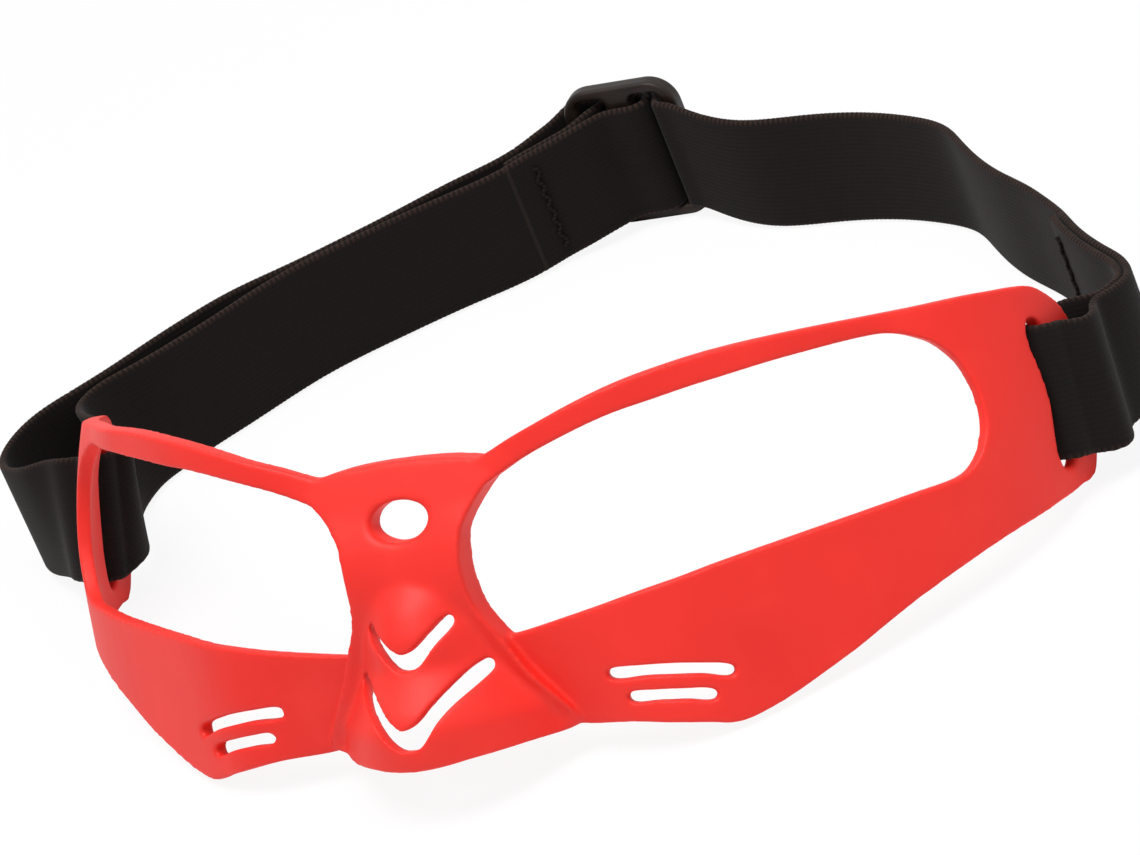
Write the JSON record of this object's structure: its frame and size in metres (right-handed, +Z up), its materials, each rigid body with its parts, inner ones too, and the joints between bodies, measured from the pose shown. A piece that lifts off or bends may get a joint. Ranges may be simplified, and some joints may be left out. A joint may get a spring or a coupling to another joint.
{
  "type": "dribble goggles",
  "caption": "Soft moulded training goggles with open eye holes, nose cone, lower blinders that block the view down, and an elastic head strap with a slider.",
  "frame": {"origin": "middle of the footprint on the table", "axes": "+X to the wearer's left, +Y rearward from the nose to the strap, +Z up from the table"},
  "size_m": [0.1998, 0.1788, 0.0506],
  "materials": {
    "moulding_red": "satin soft plastic",
    "webbing_black": "matt ribbed elastic webbing",
    "slider_black": "smooth moulded plastic",
    "thread_black": "matt sewing thread"
  },
  "bodies": {
    "root": {"frame_moulding": "moulding_red", "strap_left_loop": "webbing_black", "strap_right_loop": "webbing_black", "strap_back_run": "webbing_black", "strap_outer_run": "webbing_black", "strap_inner_run": "webbing_black", "left_stitches": "thread_black"},
    "slider_body": {"slider": "slider_black", "strap_threaded_run": "webbing_black", "strap_sewn_end": "webbing_black", "slider_stitches": "thread_black"}
  },
  "joints": [
    {"name": "slider_slide", "type": "slide", "parent": "root", "child": "slider_body", "axis": [-0.8, -0.6, 0], "range_m": [-0.01, 0.035], "deforming": ["strap_back_run", "strap_outer_run", "strap_inner_run"]}
  ]
}
